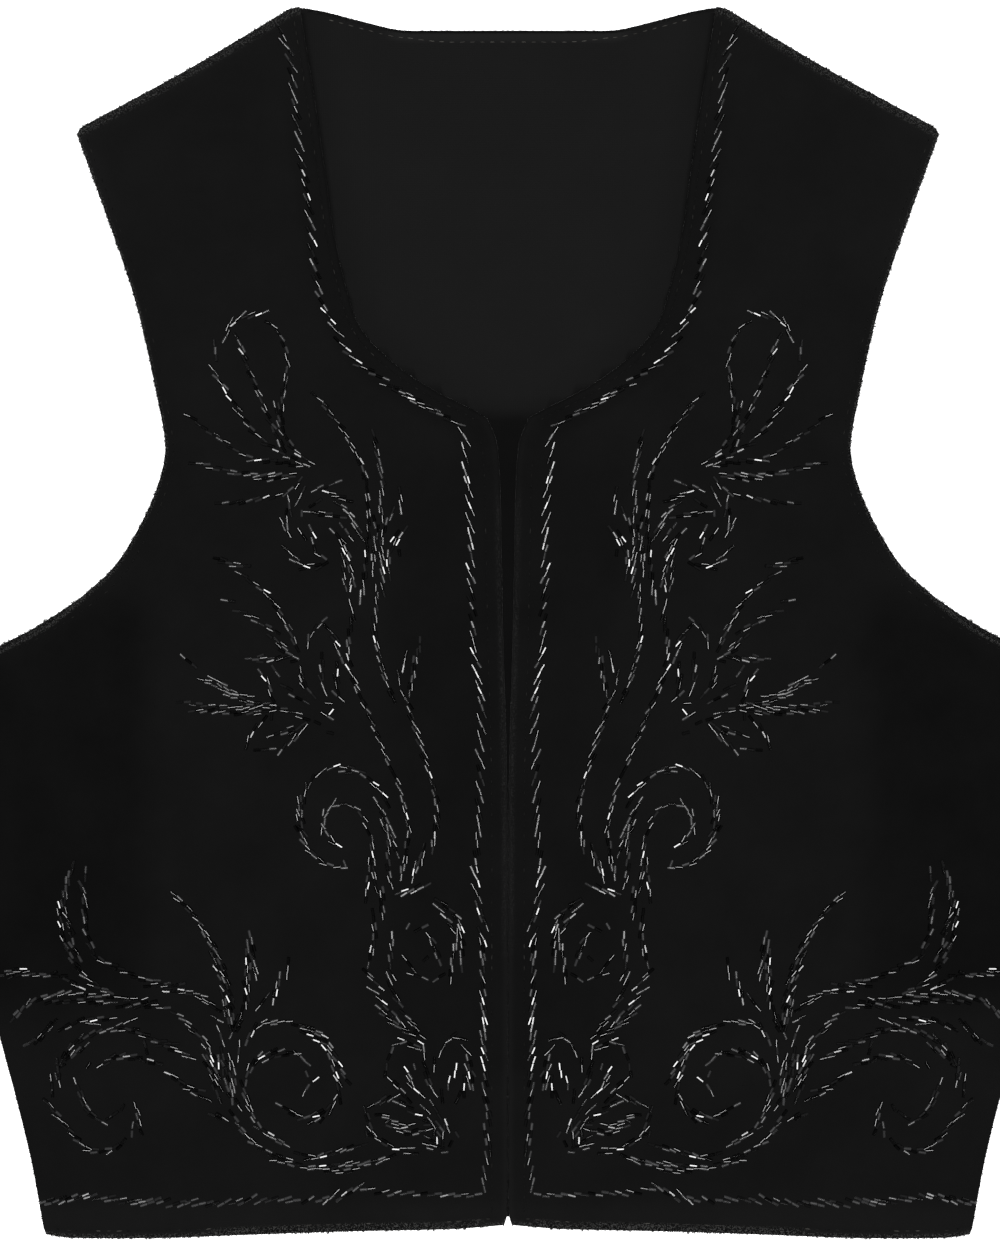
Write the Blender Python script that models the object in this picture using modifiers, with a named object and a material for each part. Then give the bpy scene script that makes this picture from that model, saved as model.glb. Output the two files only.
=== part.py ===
"""Cropped folk vest in velvet, lying flat with its fronts up.

The pieces are the ones that a maker cuts: a velvet back, the lining that lies on it, and
two velvet fronts that meet edge to edge down the centre. They are stacked as they are
sewn, and only the fronts rise a little, over the fullness of the bust.
Metres, +Z up, +Y towards the neck. The origin is the middle of the hem-to-shoulder box,
at the height of the surface that the back lies on. The half on +X is drafted once.
"""

import math

import bmesh
import bpy
import numpy as np
from mathutils import Vector
from mathutils.geometry import interpolate_bezier

MM = 0.001

# Driving sizes of the vest laid flat.
CHEST_WIDTH = 472.0 * MM  # from one underarm to the other
BODY_LENGTH = 518.0 * MM  # from the high point of the shoulder to the hem

# Walls, and the air between one piece and the next.
BACK_THICKNESS = 1.6 * MM
LINING_THICKNESS = 1.0 * MM
FRONT_THICKNESS = 2.4 * MM  # velvet on a canvas, with its turned edges
LAYER_GAP = 0.3 * MM

LINING_INSET = 1.5 * MM  # how far the lining stops short of the velvet back
BACK_PEEP = 1.4 * MM  # how far the back shows past the front, low in the armhole
TURNED_EDGE = 0.6 * MM  # rounding of a velvet rim
BUST_LIFT = 3.2 * MM  # air under the fullest place of a front
SIDE_SLOPE = 88.0 * MM  # width over which a front comes down to the side seam
EDGE_SLOPE = 40.0 * MM  # the same at its other edges

# The outlines are drafted in millimetres at these sizes, then graded to the sizes above.
DRAFT_CHEST_WIDTH = 472.0
DRAFT_LENGTH = 518.0

# Each outline is a list of (half width, height).
CENTRE_FRONT = (  # from the hem up to the corner of the neck
    (1.6, -253.2),
    (0.5, -249.0),
    (0.5, -244.0),
    (0.5, -160.0),
    (0.6, -78.0),
    (1.7, -46.4),
    (3.3, -12.0),
    (4.0, 30.0),
    (4.6, 66.0),
    (5.7, 78.0),
    (8.8, 85.9),
)
FRONT_NECK = (  # from that corner to the high point of the shoulder
    (8.8, 85.9),
    (16.0, 90.1),
    (32.8, 98.5),
    (49.6, 110.3),
    (62.2, 124.1),
    (68.5, 142.6),
    (73.8, 166.9),
    (76.3, 186.0),
    (82.3, 226.6),
    (87.6, 259.0),
)
SHOULDER = (
    (87.6, 259.0),
    (91.9, 258.0),
    (96.9, 255.1),
    (134.8, 232.5),
    (176.6, 209.9),
    (180.1, 207.7),
)
SIDE_SEAM = (  # from the hem to the underarm
    (194.1, -257.3),
    (195.3, -254.4),
    (200.3, -227.2),
    (206.7, -200.7),
    (213.4, -175.5),
    (222.9, -137.6),
    (230.0, -99.8),
    (234.4, -62.0),
    (236.0, -30.0),
    (235.4, -21.4),
)
ARMHOLE = (  # from the underarm to the tip of the shoulder
    (235.4, -21.4),
    (231.0, -18.4),
    (212.8, -10.2),
    (198.2, -3.3),
    (179.7, 8.4),
    (165.0, 21.2),
    (154.6, 37.8),
    (147.0, 56.0),
    (143.9, 73.0),
    (148.0, 97.6),
    (156.7, 135.5),
    (169.5, 173.2),
    (179.6, 200.0),
    (181.1, 204.2),
    (180.1, 207.7),
)
FRONT_HEM = (  # from the centre to the side
    (1.6, -253.2),
    (24.0, -254.9),
    (70.0, -255.9),
    (110.0, -257.3),
    (150.0, -258.7),
    (184.0, -258.5),
    (194.1, -257.3),
)
BACK_HEM = (  # a little shorter than the fronts
    (0.0, -250.2),
    (8.0, -251.0),
    (24.0, -253.4),
    (70.0, -255.2),
    (110.0, -256.6),
    (150.0, -257.9),
    (184.0, -258.0),
    (194.1, -257.3),
)
BACK_NECK = (
    (0.0, 249.3),
    (30.0, 249.3),
    (46.0, 249.6),
    (60.0, 252.8),
    (78.0, 257.4),
    (87.6, 259.0),
)
CENTRE_BACK = ((0.0, -250.2), (0.0, 249.3))

# Rows run from the hem to the shoulder, and columns from the centre to the side.
FRONT_ROWS, FRONT_COLUMNS = 40, 10
BACK_ROWS, BACK_COLUMNS = 30, 10
LINING_ROWS, LINING_COLUMNS = 20, 6

# A piece's four edges turn their corners at these shares of its rows or columns.
UNDERARM_AT = 0.4
NECK_CORNER_AT = 0.6
NECK_POINT_AT = 0.5


def smooth_line(table, steps=12):
    """Points along a smooth line through a table's points, at the driving sizes."""
    grade_x = CHEST_WIDTH / DRAFT_CHEST_WIDTH
    grade_y = BODY_LENGTH / DRAFT_LENGTH
    knots = [Vector((x * grade_x, y * grade_y)) for x, y in table]
    spans = [end - start for start, end in zip(knots, knots[1:])]
    ways = [span.normalized() for span in spans]
    turns = [(before + after).normalized() for before, after in zip(ways, ways[1:])]
    headings = [ways[0], *turns, ways[-1]]
    short = [min(a.length, b.length) / 3 for a, b in zip(spans, spans[1:])]
    reaches = [spans[0].length / 3, *short, spans[-1].length / 3]
    line = knots[:1]
    for i in range(len(spans)):
        leaving = knots[i] + headings[i] * reaches[i]
        arriving = knots[i + 1] - headings[i + 1] * reaches[i + 1]
        line += interpolate_bezier(knots[i], leaving, arriving, knots[i + 1], steps)[1:]
    return line


def edge(table):
    """A function that gives the point at a share, from 0 to 1, of a smooth line."""
    line = smooth_line(table)
    lengths = [(end - start).length for start, end in zip(line, line[1:])]
    run = np.concatenate([[0.0], np.cumsum(lengths)])
    xs, ys = zip(*line)

    def at(share):
        distance = share * run[-1]
        return Vector((np.interp(distance, run, xs), np.interp(distance, run, ys)))

    return at


def joined(first, second, corner_at):
    """An edge that follows one line up to its corner, and then another."""

    def at(share):
        if share <= corner_at:
            return first(share / corner_at)
        return second((share - corner_at) / (1.0 - corner_at))

    return at


def panel(inner, outer, lower, upper):
    """A function that gives the point at shares (across, up) of a four-sided piece."""

    def at(across, up):
        between_sides = inner(up).lerp(outer(up), across)
        between_ends = lower(across).lerp(upper(across), up)
        low_corners = inner(0.0).lerp(outer(0.0), across)
        high_corners = inner(1.0).lerp(outer(1.0), across)
        return between_sides + between_ends - low_corners.lerp(high_corners, up)

    return at


def front_panel():
    return panel(
        inner=joined(edge(CENTRE_FRONT), edge(FRONT_NECK), NECK_CORNER_AT),
        outer=joined(edge(SIDE_SEAM), edge(ARMHOLE), UNDERARM_AT),
        lower=edge(FRONT_HEM),
        upper=edge(SHOULDER),
    )


def back_panel():
    return panel(
        inner=edge(CENTRE_BACK),
        outer=joined(edge(SIDE_SEAM), edge(ARMHOLE), UNDERARM_AT),
        lower=edge(BACK_HEM),
        upper=joined(edge(BACK_NECK), edge(SHOULDER), NECK_POINT_AT),
    )


def eased(share):
    """0 to 1 with no slope at either end."""
    share = min(1.0, max(0.0, share))
    return share * share * (3.0 - 2.0 * share)


def front_lift(shape, across, up):
    """How far a front rises off the lining: nothing at its edges, most over the bust."""
    here = shape(across, up)
    over_side = eased((shape(1.0, up) - here).length / SIDE_SLOPE)
    over_edges = min(
        eased((shape(0.0, up) - here).length / EDGE_SLOPE),
        eased((shape(across, 0.0) - here).length / EDGE_SLOPE),
        eased((shape(across, 1.0) - here).length / EDGE_SLOPE),
    )
    return BUST_LIFT * over_side * over_edges


def armhole_peep(across, up):
    """How far the back's edge stands out past the front's, low in the armhole."""
    share = (up - UNDERARM_AT) / 0.3
    if not 0.0 < share < 1.0:
        return 0.0
    return BACK_PEEP * math.sin(math.pi * share) * across**12


def inset(share, length):
    """A share of a length, drawn in from both its ends by the lining's inset."""
    end = LINING_INSET / length
    return end + share * (1.0 - 2.0 * end)


def cloth_sheet(name, columns, rows, place):
    """An open sheet: a flat grid whose points move to place(across, up), facing up."""
    grid = bmesh.new()
    bmesh.ops.create_grid(grid, x_segments=columns, y_segments=rows, size=0.5)
    for vertex in grid.verts:
        vertex.co = place(vertex.co.x + 0.5, vertex.co.y + 0.5)
    grid.normal_update()
    downward = [face for face in grid.faces if face.normal.z < 0.0]
    bmesh.ops.reverse_faces(grid, faces=downward)
    mesh = bpy.data.meshes.new(name)
    grid.to_mesh(mesh)
    grid.free()
    return bpy.data.objects.new(name, mesh)


def add_other_half(piece):
    """Completes a piece that is drafted from the centre line outwards."""
    mirror = piece.modifiers.new("other_half", "MIRROR")
    mirror.use_mirror_merge = True
    mirror.merge_threshold = 0.00005


def add_wall(piece, thickness):
    """Gives a sheet its thickness, upwards from the sheet."""
    wall = piece.modifiers.new("wall", "SOLIDIFY")
    wall.thickness = thickness
    wall.offset = 1.0


def add_turned_edge(piece):
    """Rounds a wall's rim, as cloth that is turned under."""
    rim = piece.modifiers.new("turned_edge", "BEVEL")
    rim.width = TURNED_EDGE
    rim.segments = 1
    rim.limit_method = "ANGLE"
    rim.angle_limit = math.radians(50.0)


def finish(piece, material, collection):
    piece.data.materials.append(material)
    piece.data.shade_smooth()
    collection.objects.link(piece)


def cloth(name, colour, roughness, sheen):
    material = bpy.data.materials.new(name)
    material.use_nodes = True
    shader = material.node_tree.nodes["Principled BSDF"]
    shader.inputs["Base Color"].default_value = (*colour, 1.0)
    shader.inputs["Roughness"].default_value = roughness
    shader.inputs["Metallic"].default_value = 0.0
    shader.inputs["Sheen Weight"].default_value = sheen
    return material


def build_back(velvet, collection):
    shape = back_panel()

    def place(across, up):
        peep = armhole_peep(across, up)
        here = shape(across, up)
        return (here.x + peep, here.y + peep, 0.0)

    piece = cloth_sheet("back", BACK_COLUMNS, BACK_ROWS, place)
    add_other_half(piece)
    add_wall(piece, BACK_THICKNESS)
    add_turned_edge(piece)
    finish(piece, velvet, collection)


def build_back_lining(satin, collection):
    shape = back_panel()
    height = BACK_THICKNESS + LAYER_GAP

    def place(across, up):
        width = (shape(1.0, up) - shape(0.0, up)).length
        length = (shape(across, 1.0) - shape(across, 0.0)).length
        here = shape(across * (1.0 - LINING_INSET / width), inset(up, length))
        return (here.x, here.y, height)

    piece = cloth_sheet("back_lining", LINING_COLUMNS, LINING_ROWS, place)
    add_other_half(piece)
    add_wall(piece, LINING_THICKNESS)
    finish(piece, satin, collection)


def build_front(name, side, velvet, collection):
    """One front, on the side of the given sign of X."""
    shape = front_panel()
    floor = BACK_THICKNESS + LAYER_GAP + LINING_THICKNESS + LAYER_GAP

    def place(across, up):
        here = shape(across, up)
        return (side * here.x, here.y, floor + front_lift(shape, across, up))

    piece = cloth_sheet(name, FRONT_COLUMNS, FRONT_ROWS, place)
    add_wall(piece, FRONT_THICKNESS)
    add_turned_edge(piece)
    finish(piece, velvet, collection)


def build_vest():
    for leftover in list(bpy.data.objects):
        bpy.data.objects.remove(leftover)
    vest = bpy.data.collections.new("folk_vest")
    bpy.context.scene.collection.children.link(vest)
    velvet = cloth("black_velvet", (0.008, 0.008, 0.008), roughness=0.95, sheen=0.25)
    satin = cloth("black_lining", (0.013, 0.013, 0.013), roughness=0.6, sheen=0.05)
    build_back(velvet, vest)
    build_back_lining(satin, vest)
    build_front("front_right", -1.0, velvet, vest)
    build_front("front_left", 1.0, velvet, vest)


build_vest()
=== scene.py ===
# %% [markdown]
# # A velvet folk vest with bugle bead embroidery
# The vest lies flat with its fronts up. Black glass bugles are sewn all over two black velvet
# fronts, and inside the neck the black lining of the back can be seen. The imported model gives
# four solids: back, back_lining, front_left and front_right. This lesson dresses them with
# soft cloth, sewing, beads and pile, all in the model's own place and in metres.

# %% Load the frame
import math

import bmesh
import bpy
import numpy as np
from mathutils import Matrix, Vector
from mathutils.bvhtree import BVHTree
from mathutils.geometry import interpolate_bezier
from mathutils.kdtree import KDTree


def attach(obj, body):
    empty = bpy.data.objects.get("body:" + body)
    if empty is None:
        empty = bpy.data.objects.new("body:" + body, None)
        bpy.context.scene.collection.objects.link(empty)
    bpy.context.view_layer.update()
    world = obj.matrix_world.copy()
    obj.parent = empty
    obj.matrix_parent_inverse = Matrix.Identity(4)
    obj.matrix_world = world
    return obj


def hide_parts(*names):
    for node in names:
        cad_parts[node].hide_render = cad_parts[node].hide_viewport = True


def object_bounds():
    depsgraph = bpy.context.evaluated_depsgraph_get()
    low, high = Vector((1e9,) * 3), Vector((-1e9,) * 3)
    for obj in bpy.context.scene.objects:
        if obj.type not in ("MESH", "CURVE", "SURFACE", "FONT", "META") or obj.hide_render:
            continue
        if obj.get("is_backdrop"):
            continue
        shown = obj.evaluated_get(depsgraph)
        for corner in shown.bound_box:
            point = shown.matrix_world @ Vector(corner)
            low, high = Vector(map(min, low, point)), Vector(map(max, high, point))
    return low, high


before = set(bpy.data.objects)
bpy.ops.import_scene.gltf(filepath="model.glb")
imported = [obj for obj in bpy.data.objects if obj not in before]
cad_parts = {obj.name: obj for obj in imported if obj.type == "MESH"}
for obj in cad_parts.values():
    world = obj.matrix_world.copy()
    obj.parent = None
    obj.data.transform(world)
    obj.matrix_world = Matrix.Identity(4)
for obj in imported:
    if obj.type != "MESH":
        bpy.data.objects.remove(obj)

MM = 0.001
cad_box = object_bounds()
chance = np.random.default_rng(7)
print("nodes:", sorted(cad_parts))

# %% [markdown]
# ## The draft
# A vest is cut from a paper draft, and every piece here starts from the same lines as the
# solids do. The lines could be copied off the solids' rims, but those have few points, so the
# short tables of the draft are repeated and drawn again as smooth lines. Only the centre
# edges differ: the rolled velvet fills up to 1.4 mm more of the gap than the solids do. Each
# row is a half width from the centre line and a height, in millimetres.

# %% Outlines of the cut pieces
CENTRE_FRONT = (  # from the hem up to the corner of the neck
    (1.6, -253.2), (0.4, -249), (0.3, -244), (0.3, -160), (0.3, -78), (0.9, -42), (1.9, -10),
    (2.7, 30), (3.5, 64), (5, 77), (8.8, 85.9),
)
FRONT_NECK = (  # from that corner to the high point of the shoulder
    (8.8, 85.9), (16, 90.1), (32.8, 98.5), (49.6, 110.3), (62.2, 124.1), (68.5, 142.6),
    (73.8, 166.9), (76.3, 186), (82.3, 226.6), (87.6, 259),
)
SHOULDER = (
    (87.6, 259), (91.9, 258), (96.9, 255.1), (134.8, 232.5), (176.6, 209.9), (180.1, 207.7),
)
SIDE_SEAM = (  # from the hem to the underarm
    (194.1, -257.3), (195.3, -254.4), (200.3, -227.2), (206.7, -200.7), (213.4, -175.5),
    (222.9, -137.6), (230, -99.8), (234.4, -62), (236, -30), (235.4, -21.4),
)
ARMHOLE = (  # from the underarm to the tip of the shoulder
    (235.4, -21.4), (231, -18.4), (212.8, -10.2), (198.2, -3.3), (179.7, 8.4), (165, 21.2),
    (154.6, 37.8), (147, 56), (143.9, 73), (148, 97.6), (156.7, 135.5), (169.5, 173.2),
    (179.3, 200), (181, 205.2), (180.1, 207.7),
)
FRONT_HEM = (  # from the centre to the side
    (1.6, -253.2), (24, -254.9), (70, -255.9), (110, -257.3), (150, -258.7), (184, -258.5),
    (194.1, -257.3),
)
BACK_HEM = (  # a little shorter than the fronts
    (0, -250.2), (8, -251), (24, -253.4), (70, -255.2), (110, -256.6), (150, -257.9), (184, -258),
    (194.1, -257.3),
)
BACK_NECK = ((0, 249.3), (30, 249.3), (46, 249.6), (60, 252.8), (78, 257.4), (87.6, 259))
CENTRE_BACK = ((0, -250.2), (0, 249.3))
UNDERARM_AT, NECK_CORNER_AT, NECK_POINT_AT = 0.4, 0.6, 0.5  # shares of a piece's rows


def smooth_line(table, steps=12):
    """Points, in metres, along a smooth line through a table's points."""
    knots = [Vector(point) * MM for point in table]
    spans = [end - start for start, end in zip(knots, knots[1:])]
    ways = [span.normalized() for span in spans]
    turns = [(before + after).normalized() for before, after in zip(ways, ways[1:])]
    headings = [ways[0], *turns, ways[-1]]
    short = [min(a.length, b.length) / 3 for a, b in zip(spans, spans[1:])]
    reaches = [spans[0].length / 3, *short, spans[-1].length / 3]
    line = knots[:1]
    for i in range(len(spans)):
        leaving = knots[i] + headings[i] * reaches[i]
        arriving = knots[i + 1] - headings[i + 1] * reaches[i + 1]
        line += interpolate_bezier(knots[i], leaving, arriving, knots[i + 1], steps)[1:]
    return np.array([tuple(point) for point in line])


def run_along(line):
    """The distance from a line's start to each of its points."""
    return np.concatenate([[0.0], np.cumsum(np.linalg.norm(np.diff(line, axis=0), axis=1))])


def points_at(line, far):
    """The points of a line at distances from its start."""
    run = run_along(line)
    return np.stack([np.interp(far, run, line[:, axis]) for axis in (0, 1)], axis=-1)


def edge(table):
    """A function that gives the points at shares, from 0 to 1, of a smooth line."""
    line = smooth_line(table)
    length = run_along(line)[-1]
    return lambda share: points_at(line, np.asarray(share, float) * length)


print("centre front is", round(run_along(smooth_line(CENTRE_FRONT))[-1] / MM), "mm long")


# %% Four-sided pieces between those lines
def joined(first, second, corner_at):
    """An edge that follows one line up to its corner, and then another."""

    def at(share):
        share = np.asarray(share, float)
        low = first(np.clip(share / corner_at, 0.0, 1.0))
        high = second(np.clip((share - corner_at) / (1.0 - corner_at), 0.0, 1.0))
        return np.where((share <= corner_at)[..., None], low, high)

    return at


def panel(inner, outer, lower, upper):
    """A function that gives the points at shares (across, up) of a four-sided piece."""

    def at(across, up):
        across, up = np.broadcast_arrays(np.asarray(across, float), np.asarray(up, float))
        a, u = across[..., None], up[..., None]
        between_sides = inner(up) * (1 - a) + outer(up) * a
        between_ends = lower(across) * (1 - u) + upper(across) * u
        low_corners = inner(0.0) * (1 - a) + outer(0.0) * a
        high_corners = inner(1.0) * (1 - a) + outer(1.0) * a
        return between_sides + between_ends - low_corners * (1 - u) - high_corners * u

    return at


outer_edge = joined(edge(SIDE_SEAM), edge(ARMHOLE), UNDERARM_AT)
front_shape = panel(
    inner=joined(edge(CENTRE_FRONT), edge(FRONT_NECK), NECK_CORNER_AT),
    outer=outer_edge, lower=edge(FRONT_HEM), upper=edge(SHOULDER),
)
back_shape = panel(
    inner=edge(CENTRE_BACK), outer=outer_edge, lower=edge(BACK_HEM),
    upper=joined(edge(BACK_NECK), edge(SHOULDER), NECK_POINT_AT),
)


def gaps_to(tables, points):
    """Each point's distance, in millimetres, to the nearest place on each of some edges."""
    gaps = []
    for table in tables:
        line = smooth_line(table)
        nearest = np.full(len(points), np.inf)
        for start, span in zip(line, np.diff(line, axis=0)):
            share = np.clip((points - start) @ span / max(span @ span, 1e-12), 0.0, 1.0)
            off = points - start - share[:, None] * span
            nearest = np.minimum(nearest, np.linalg.norm(off, axis=1))
        gaps.append(nearest / MM)
    return gaps


def outline_area(shape):
    """The flat area inside a piece's four edges."""
    share = np.linspace(0.0, 1.0, 400)
    back = share[::-1]
    ring = [shape(share, 0.0), shape(1.0, share), shape(back, 1.0), shape(0.0, back)]
    x, y = np.concatenate(ring).T
    return abs(np.sum(x * np.roll(y, -1) - y * np.roll(x, -1))) / 2


FRONT_AREA, BACK_AREA = outline_area(front_shape), 2 * outline_area(back_shape)
print("a front is cut from", round(FRONT_AREA, 4), "m2, the back from", round(BACK_AREA, 4))

# %% [markdown]
# ## Camera and light
# The vest is shown from straight above, as on a pattern table. A long lens 1.46 m up keeps
# the sides from leaning. The table is a light table, white from edge to edge. One softbox
# 6 m overhead gives the beads their glints: a thin bright line along each round bead, and a
# flash from a flat facet that is tipped just so. A nearer or wider box would make the lines
# thicker and set more facets flashing. A white room fills the rest.

# %% Camera
scene = bpy.context.scene
scene.view_settings.view_transform = "Standard"


def put_in_scene(data):
    """A new object that carries its data's name."""
    thing = bpy.data.objects.new(data.name, data)
    scene.collection.objects.link(thing)
    return thing


lens = bpy.data.cameras.new("table_camera")
lens.lens, lens.sensor_width = 100.0, 36.0
camera = put_in_scene(lens)
camera.location = (-3.36 * MM, -1.05 * MM, 1.4633)
scene.camera = camera
seen = camera.location.z * lens.sensor_width / lens.lens
print("the camera sees", round(seen / MM), "mm of height")


# %% Light table, softbox and room
def feed(socket, value):
    """Sets a node's input, or links it when the value is another node's output."""
    if isinstance(value, bpy.types.NodeSocket):
        socket.id_data.links.new(value, socket)
    else:
        socket.default_value = value


def feed_all(node, **values):
    """Feeds a node's inputs by their names, with _ for each space."""
    for key, value in values.items():
        feed(node.inputs[key.replace("_", " ")], value)


def add(nodes, kind, *feeds, give=0, settings=(), **values):
    """A new node with its settings, fed by order or by name; gives back one of its outputs."""
    node = nodes.new(kind)
    for key, value in dict(settings).items():
        setattr(node, key, value)
    for socket, value in zip(node.inputs, feeds):
        feed(socket, value)
    feed_all(node, **values)
    return node.outputs[give]


def finish_nodes(name):
    """A new material, its nodes and its shader."""
    finish = bpy.data.materials.new(name)
    finish.use_nodes = True
    nodes = finish.node_tree.nodes
    return finish, nodes, nodes["Principled BSDF"]


def mesh_from(shape, name):
    """A mesh made from a bmesh, which is then freed."""
    mesh = bpy.data.meshes.new(name)
    shape.to_mesh(mesh)
    shape.free()
    return mesh


WHITE = (1.0, 1.0, 1.0, 1.0)
table_white, nodes, shader = finish_nodes("light_table")
feed_all(
    shader, Base_Color=(0.9, 0.9, 0.9, 1.0), Roughness=0.9, Emission_Color=WHITE,
    Emission_Strength=1.0,
)
ground = bmesh.new()
bmesh.ops.create_grid(ground, x_segments=1, y_segments=1, size=4.0)
bmesh.ops.translate(ground, verts=ground.verts, vec=(0.0, 0.0, -0.3 * MM))
ground_mesh = mesh_from(ground, "light_table")
ground_mesh.materials.append(table_white)
put_in_scene(ground_mesh)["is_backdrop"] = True

SOFTBOX_WIDTH, SOFTBOX_DEPTH, SOFTBOX_HEIGHT, SOFTBOX_RADIANCE = 2.3, 1.9, 6.0, 29.0
box_light = bpy.data.lights.new("softbox", "AREA")
box_light.shape, box_light.size, box_light.size_y = "RECTANGLE", SOFTBOX_WIDTH, SOFTBOX_DEPTH
box_light.energy = SOFTBOX_RADIANCE * math.pi * SOFTBOX_WIDTH * SOFTBOX_DEPTH
put_in_scene(box_light).location = (0.0, 0.0, SOFTBOX_HEIGHT)

FILL = 0.08  # how much light the room's walls send back
room = bpy.data.worlds.new("pale_room")
room.use_nodes = True
nodes = room.node_tree.nodes
seen_directly = add(nodes, "ShaderNodeLightPath", give="Is Camera Ray")
level = add(nodes, "ShaderNodeMapRange", seen_directly, To_Min=FILL, To_Max=1.0)
feed_all(nodes["Background"], Color=WHITE, Strength=level)
scene.world = room
print("softbox of", round(box_light.energy), "W")

# %% [markdown]
# ## Finishes
# Velvet is black because light falls between its hairs and stays there. It could be real
# hair, but millions of hairs are too much for a flat cloth, so the pile is a very dark
# ground with a little sheen and a fine bump. One attribute makes it lighter or darker: where
# the nap was stroked another way, and also painted shade where the cloth turns away from the
# light and painted highlights along rolled rims and turned edges. Where the pile is ruffled,
# as along a turned edge, the tips of single tufts catch the light, a painted highlight: an
# attribute called ruffle says where, and a fine noise says which. The shaping code paints both.


# %% Velvet
def grey(level):
    """A grey as a colour."""
    return (level, level, level, 1.0)


def blend_two(nodes, factor, low, high):
    """A colour between two colours or node outputs, by a factor from 0 to 1."""
    mix = nodes.new("ShaderNodeMix")
    mix.data_type = "RGBA"
    for slot, value in ((0, factor), (6, low), (7, high)):
        feed(mix.inputs[slot], value)
    return mix.outputs[2]


def painted(nodes, name):
    """The value of an attribute that the shaping code paints."""
    return add(nodes, "ShaderNodeAttribute", give="Fac", settings={"attribute_name": name})


def noise(nodes, place, scale, detail, roughness):
    """A texture of soft clouds."""
    return add(
        nodes, "ShaderNodeTexNoise", place, give="Fac", Scale=scale, Detail=detail,
        Roughness=roughness,
    )


def waves(nodes, place, scale, distortion, direction):
    """A texture of parallel waves."""
    return add(
        nodes, "ShaderNodeTexWave", place, give="Fac", settings={"bands_direction": direction},
        Scale=scale, Distortion=distortion,
    )


velvet, nodes, shader = finish_nodes("velvet")
place = add(nodes, "ShaderNodeTexCoord", give="Object")
cloud, tuft, fluff, speck = [
    noise(nodes, place, *values)
    for values in ((34.0, 4.0, 0.6), (900.0, 3.0, 0.7), (260.0, 5.0, 0.75), (2000.0, 0.0, 0.5))
]
streak = add(
    nodes, "ShaderNodeMapRange", cloud, From_Min=0.25, From_Max=0.75, To_Min=-0.12, To_Max=0.12
)
# The attribute carries the nap and painted shade and highlights; a noise adds streaks to it.
nap_light_and_streaks = add(
    nodes, "ShaderNodeMath", painted(nodes, "nap_and_painted_light"), streak,
    settings={"operation": "ADD", "use_clamp": True},
)
ground_tone = blend_two(nodes, nap_light_and_streaks, grey(0.0021), grey(0.009))
tip = add(nodes, "ShaderNodeMapRange", speck, From_Min=0.52, From_Max=0.66)
lit_tips = add(
    nodes, "ShaderNodeMath", tip, painted(nodes, "ruffle"), settings={"operation": "MULTIPLY"}
)
deep = add(nodes, "ShaderNodeBump", Strength=0.35, Distance=0.0005, Height=fluff)
fine = add(nodes, "ShaderNodeBump", Strength=0.6, Distance=0.00035, Height=tuft, Normal=deep)
feed_all(
    shader, Base_Color=blend_two(nodes, lit_tips, ground_tone, (0.044, 0.044, 0.043, 1.0)),
    Normal=fine, Roughness=0.95, Specular_IOR_Level=0.03, Sheen_Weight=0.12,
    Sheen_Roughness=0.25,
)
print("velvet has", len(nodes), "nodes")

# %% [markdown]
# The lining is a plain black satin twill. Its threads could be modelled, but each is a
# quarter of a millimetre wide, so two crossed waves in the bump make the weave, and the
# shader gives its soft shine. Rubbing by wear is painted as a slow change of roughness.
# The attribute that carries the velvet's nap makes the band turned in at the back neck a
# little lighter, and paints shade beside the fronts' neck edges and in the gap below them.

# %% Lining
lining_finish, nodes, shader = finish_nodes("satin_lining")
place = add(nodes, "ShaderNodeTexCoord", give="Object")
rub = noise(nodes, place, 24.0, 4.0, 0.6)
warp, weft = [waves(nodes, place, 420.0, 0.6, direction) for direction in "XY"]
weave = add(nodes, "ShaderNodeMath", warp, weft, settings={"operation": "ADD"})
feed_all(
    shader, Base_Color=blend_two(nodes, painted(nodes, "nap_and_painted_light"), grey(0.0017), grey(0.0121)),
    Normal=add(nodes, "ShaderNodeBump", Strength=0.25, Distance=0.0001, Height=weave),
    Roughness=add(nodes, "ShaderNodeMapRange", rub, To_Min=0.5, To_Max=0.66),
    Specular_IOR_Level=0.02,
)
print("lining has", len(nodes), "nodes")

# %% [markdown]
# Bugle beads are cut from drawn glass rods with six flat sides. Black glass is nearly all
# reflection, so the bead is a dark, smooth dielectric, and each bead gets its own tone and
# polish from an attribute. Sewing thread is dull cotton with a twist.


# %% Glass and thread
def toned_finish(name, dark, light, smooth, rough, **values):
    """A finish whose colour and roughness follow each small thing's own tone."""
    finish, nodes, shader = finish_nodes(name)
    tone = painted(nodes, "tone")
    polish = add(nodes, "ShaderNodeMapRange", tone, To_Min=smooth, To_Max=rough)
    feed_all(shader, Base_Color=blend_two(nodes, tone, dark, light), Roughness=polish, **values)
    return finish, nodes, shader


black_glass = toned_finish(
    "black_glass", grey(0.0004), (0.042, 0.042, 0.043, 1.0), 0.07, 0.36, IOR=1.48
)[0]
pile_finish = toned_finish(
    "pile_hair", grey(0.002), grey(0.03), 0.7, 0.9, Specular_IOR_Level=0.2
)[0]
thread_finish, nodes, shader = toned_finish(
    "cotton_thread", grey(0.0015), (0.08, 0.077, 0.07, 1.0), 0.5, 0.8, Specular_IOR_Level=0.1
)
place = add(nodes, "ShaderNodeTexCoord", give="Object")
twist = waves(nodes, place, 500.0, 1.0, "DIAGONAL")
feed_all(
    shader, Normal=add(nodes, "ShaderNodeBump", Strength=0.4, Distance=0.0001, Height=twist)
)
print("glass, thread and pile are ready")
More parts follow.
